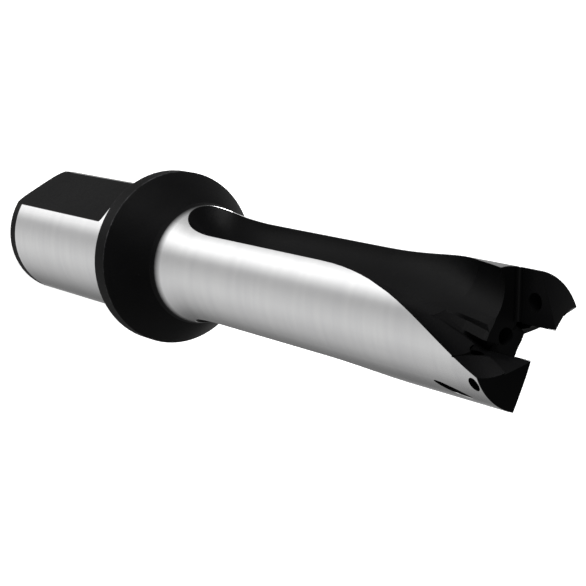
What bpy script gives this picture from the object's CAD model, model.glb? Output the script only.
import bpy
from mathutils import Matrix, Vector

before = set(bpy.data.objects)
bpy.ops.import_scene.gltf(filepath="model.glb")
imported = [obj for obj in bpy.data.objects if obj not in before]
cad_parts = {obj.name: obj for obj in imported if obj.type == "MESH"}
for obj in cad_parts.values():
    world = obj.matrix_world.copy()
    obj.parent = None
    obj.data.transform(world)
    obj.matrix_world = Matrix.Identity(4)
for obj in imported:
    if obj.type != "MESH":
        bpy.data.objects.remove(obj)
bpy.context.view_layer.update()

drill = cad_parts["drill_body"]
scene = bpy.context.scene

# ------------------------------------------------------------------- camera
RIGHT = Vector((0.7244, -0.3830, 0.5732))
UP = Vector((0.5484, 0.8240, -0.1425))
BACK = RIGHT.cross(UP).normalized()
UP = BACK.cross(RIGHT).normalized()
RIGHT.normalize()
EYE = Vector((-0.15422, 0.15181, 0.40710))

cam_data = bpy.data.cameras.new("camera")
cam = bpy.data.objects.new("camera", cam_data)
scene.collection.objects.link(cam)
cam_data.sensor_width = 36.0
cam_data.sensor_fit = "HORIZONTAL"
cam_data.lens = 102.46
cam_data.clip_start = 0.01
cam_data.clip_end = 10.0
rot = Matrix((RIGHT, UP, BACK)).transposed()
cam.matrix_world = Matrix.Translation(EYE) @ rot.to_4x4()
scene.camera = cam


# ---------------------------------------------------------------- node tools
class Tree:
    """Small helper that adds and links shader nodes."""

    def __init__(self, name):
        self.mat = bpy.data.materials.new(name)
        self.mat.use_nodes = True
        self.nt = self.mat.node_tree
        self.nt.nodes.clear()
        self.out = self.nt.nodes.new("ShaderNodeOutputMaterial")

    def put(self, value, socket):
        if hasattr(value, "is_output"):
            self.nt.links.new(value, socket)
        elif value is not None:
            socket.default_value = value

    def math(self, op, a, b=None, c=None, clamp=False):
        n = self.nt.nodes.new("ShaderNodeMath")
        n.operation = op
        n.use_clamp = clamp
        for v, s in zip((a, b, c), n.inputs):
            self.put(v, s)
        return n.outputs[0]

    def combine(self, x, y, z):
        n = self.nt.nodes.new("ShaderNodeCombineXYZ")
        for v, s in zip((x, y, z), n.inputs):
            self.put(v, s)
        return n.outputs[0]

    def noise(self, vector, scale, detail=2.0, rough=0.5):
        n = self.nt.nodes.new("ShaderNodeTexNoise")
        n.inputs["Scale"].default_value = scale
        n.inputs["Detail"].default_value = detail
        n.inputs["Roughness"].default_value = rough
        self.put(vector, n.inputs["Vector"])
        return n.outputs[0]

    def ramp(self, value, lo, hi, to_lo, to_hi):
        n = self.nt.nodes.new("ShaderNodeMapRange")
        for v, s in zip((value, lo, hi, to_lo, to_hi), n.inputs):
            self.put(v, s)
        return n.outputs[0]

    def mix(self, fac, a, b):
        n = self.nt.nodes.new("ShaderNodeMix")
        n.data_type = "RGBA"
        self.put(fac, n.inputs[0])
        for v, s in ((a, n.inputs[6]), (b, n.inputs[7])):
            self.put(v if hasattr(v, "is_output") else (*v, 1.0) if len(v) == 3 else v, s)
        return n.outputs[2]

    def bump(self, height, strength, distance, normal=None):
        n = self.nt.nodes.new("ShaderNodeBump")
        n.inputs["Strength"].default_value = strength
        n.inputs["Distance"].default_value = distance
        self.put(height, n.inputs["Height"])
        if normal is not None:
            self.put(normal, n.inputs["Normal"])
        return n.outputs[0]


def tool_steel():
    """Ground steel outside, black oxide on every milled or turned recess."""
    t = Tree("tool_steel")
    tc = t.nt.nodes.new("ShaderNodeTexCoord")
    sep = t.nt.nodes.new("ShaderNodeSeparateXYZ")
    t.nt.links.new(tc.outputs["Object"], sep.inputs[0])
    obj = tc.outputs["Object"]
    x, y, z = sep.outputs
    r = t.math("SQRT", t.math("ADD", t.math("MULTIPLY", x, x), t.math("MULTIPLY", y, y)))

    # how far the point lies inside the ground outline, in metres
    dz = t.math("MAXIMUM", t.math("SUBTRACT", 0.083, z), 0.0)
    neck = t.math("SUBTRACT", 0.06035,
                  t.math("SQRT", t.math("SUBTRACT", 0.047 ** 2, t.math("MULTIPLY", dz, dz))))
    deep_body = t.math("SUBTRACT", neck, r)
    on_body = t.math("MULTIPLY", t.ramp(deep_body, 0.00006, 0.00011, 1.0, 0.0),
                     t.ramp(z, 0.0744, 0.0766, 0.0, 1.0))
    deep_shank = t.math("SUBTRACT", 0.016, r)
    on_shank = t.math("MULTIPLY", t.ramp(deep_shank, 0.00005, 0.00009, 1.0, 0.0),
                      t.ramp(z, 0.00464, 0.00470, 0.0, 1.0))
    on_shank = t.math("MULTIPLY", on_shank, t.ramp(z, 0.05797, 0.05802, 1.0, 0.0))
    ground = t.math("MAXIMUM", on_body, on_shank)

    # cylindrical grinding marks run round the axis
    rings = t.noise(t.combine(t.math("MULTIPLY", x, 90.0), t.math("MULTIPLY", y, 90.0),
                              t.math("MULTIPLY", z, 5200.0)), 1.0, 3.0, 0.6)
    wide = t.noise(t.combine(t.math("MULTIPLY", x, 40.0), t.math("MULTIPLY", y, 40.0),
                             t.math("MULTIPLY", z, 420.0)), 1.0, 2.0, 0.5)
    cloud = t.noise(obj, 55.0, 3.0, 0.5)
    fine = t.noise(obj, 2600.0, 2.0, 0.6)

    bright = t.mix(t.ramp(wide, 0.3, 0.7, 0.0, 1.0), (0.588, 0.588, 0.592), (0.622, 0.622, 0.622))
    bright_rough = t.math("ADD", t.ramp(rings, 0.3, 0.7, 0.21, 0.255), t.ramp(cloud, 0.3, 0.7, -0.02, 0.02))

    # milling marks in the flutes follow the axis
    mill = t.noise(t.combine(t.math("MULTIPLY", x, 2600.0), t.math("MULTIPLY", y, 2600.0),
                             t.math("MULTIPLY", z, 60.0)), 1.0, 2.0, 0.6)
    black = t.mix(t.ramp(cloud, 0.3, 0.7, 0.0, 1.0), (0.0010, 0.0010, 0.0011), (0.0020, 0.0020, 0.0021))
    # the oxide is rubbed thin along the two edges of the flange rim
    rim_hi = t.ramp(t.math("ABSOLUTE", t.math("SUBTRACT", z, 0.06244)), 0.00003, 0.00022, 1.0, 0.0)
    rim_lo = t.ramp(t.math("ABSOLUTE", t.math("SUBTRACT", z, 0.05830)), 0.00003, 0.00022, 1.0, 0.0)
    rim = t.math("MULTIPLY", t.math("MAXIMUM", rim_hi, rim_lo), t.ramp(r, 0.0204, 0.0207, 0.0, 1.0))
    worn = t.math("MULTIPLY", rim, t.ramp(t.noise(obj, 420.0, 3.0, 0.6), 0.42, 0.62, 0.15, 0.9))
    black = t.mix(worn, black, (0.030, 0.030, 0.031))
    black_rough = t.math("ADD", t.ramp(fine, 0.3, 0.7, 0.34, 0.44), t.ramp(cloud, 0.3, 0.7, -0.04, 0.04))

    g = t.nt.nodes.new("ShaderNodeBsdfPrincipled")
    g.inputs["Metallic"].default_value = 1.0
    t.put(bright, g.inputs["Base Color"])
    t.put(bright_rough, g.inputs["Roughness"])
    t.put(t.bump(rings, 0.06, 0.00002), g.inputs["Normal"])

    b = t.nt.nodes.new("ShaderNodeBsdfPrincipled")
    b.inputs["Metallic"].default_value = 0.0
    b.inputs["IOR"].default_value = 1.10
    t.put(black, b.inputs["Base Color"])
    t.put(black_rough, b.inputs["Roughness"])
    n1 = t.bump(mill, 0.06, 0.00003)
    t.put(t.bump(fine, 0.12, 0.00002, n1), b.inputs["Normal"])

    m = t.nt.nodes.new("ShaderNodeMixShader")
    t.put(ground, m.inputs[0])
    t.nt.links.new(b.outputs[0], m.inputs[1])
    t.nt.links.new(g.outputs[0], m.inputs[2])
    t.nt.links.new(m.outputs[0], t.out.inputs[0])
    return t.mat


mat = tool_steel()
for s in drill.material_slots:
    s.material = mat
if not drill.material_slots:
    drill.data.materials.append(mat)

# -------------------------------------------------------------------- stage
mesh = bpy.data.meshes.new("floor")
S = 30.0
mesh.from_pydata([(-S, -S, 0), (S, -S, 0), (S, S, 0), (-S, S, 0)], [], [(0, 1, 2, 3)])
floor = bpy.data.objects.new("floor", mesh)
scene.collection.objects.link(floor)
floor.location.z = -0.0001
ft = Tree("floor_white")
fd = ft.nt.nodes.new("ShaderNodeBsdfDiffuse")
fd.inputs[0].default_value = (0.85, 0.85, 0.85, 1.0)
fe = ft.nt.nodes.new("ShaderNodeEmission")
fe.inputs[0].default_value = (1.0, 1.0, 1.0, 1.0)
fe.inputs[1].default_value = 0.80
fa = ft.nt.nodes.new("ShaderNodeAddShader")
ft.nt.links.new(fd.outputs[0], fa.inputs[0])
ft.nt.links.new(fe.outputs[0], fa.inputs[1])
ft.nt.links.new(fa.outputs[0], ft.out.inputs[0])
floor.data.materials.append(ft.mat)

floor.visible_glossy = False

# surroundings: even above, and below the horizon a soft band of light that
# changes with the compass direction, as the cards round a product table do
world = bpy.data.worlds.new("studio")
scene.world = world
world.use_nodes = True
wt = world.node_tree
bg = wt.nodes["Background"]
BELOW = [(0, 0.30), (40, 0.40), (75, 0.95), (96, 1.95), (110, 1.80), (122, 1.14), (134, 0.64),
         (146, 0.69), (160, 0.82), (180, 0.93), (194, 0.88), (206, 0.78), (218, 0.68),
         (230, 0.56), (242, 0.41), (254, 0.29), (268, 0.20), (284, 0.20), (300, 0.55),
         (318, 0.60), (336, 0.30), (360, 0.30)]
geom = wt.nodes.new("ShaderNodeTexCoord")
axes = wt.nodes.new("ShaderNodeSeparateXYZ")
wt.links.new(geom.outputs["Generated"], axes.inputs[0])


def wmath(op, a, b=None):
    n = wt.nodes.new("ShaderNodeMath")
    n.operation = op
    for v, k in ((a, 0), (b, 1)):
        if v is None:
            continue
        if hasattr(v, "is_output"):
            wt.links.new(v, n.inputs[k])
        else:
            n.inputs[k].default_value = v
    return n.outputs[0]


turn = wmath("FRACT", wmath("ADD", wmath("DIVIDE", wmath("ARCTAN2", axes.outputs[1], axes.outputs[0]),
                                         6.2831853), 1.0))
curve = wt.nodes.new("ShaderNodeValToRGB")
els = curve.color_ramp.elements
els[0].position, els[1].position = 0.0, 1.0
els[0].color = (BELOW[0][1] / 2,) * 3 + (1.0,)
els[1].color = (BELOW[-1][1] / 2,) * 3 + (1.0,)
for deg, v in BELOW[1:-1]:
    e = els.new(deg / 360.0)
    e.color = (v / 2,) * 3 + (1.0,)
wt.links.new(turn, curve.inputs[0])
low = wmath("MULTIPLY", curve.outputs[0], 2.0)
up_side = wt.nodes.new("ShaderNodeMapRange")
wt.links.new(axes.outputs[2], up_side.inputs[0])
for k, v in ((1, -0.15), (2, 0.10), (3, 0.0), (4, 1.0)):
    up_side.inputs[k].default_value = v
level = wmath("ADD", wmath("MULTIPLY", low, wmath("SUBTRACT", 1.0, up_side.outputs[0])),
              wmath("MULTIPLY", up_side.outputs[0], 0.35))
wt.links.new(level, bg.inputs[1])
bg.inputs[0].default_value = (1.0, 1.0, 1.0, 1.0)

MIDDLE = Vector((0.0, 0.0, 0.095))


def softbox(name, right, up, back, size, power, target=MIDDLE):
    data = bpy.data.lights.new(name, "AREA")
    data.shape = "RECTANGLE"
    data.size, data.size_y = size
    data.energy = power
    o = bpy.data.objects.new(name, data)
    scene.collection.objects.link(o)
    o.location = target + RIGHT * right + UP * up + BACK * back
    o.rotation_euler = (target - o.location).to_track_quat("-Z", "Y").to_euler()
    return o


softbox("key", 0.05, 0.60, 0.45, (0.6, 0.35), 9.0)
softbox("fill", -0.3, -0.15, 0.9, (0.5, 0.5), 2.0)

scene.view_settings.view_transform = "Standard"
scene.view_settings.look = "None"
scene.view_settings.exposure = 0.0
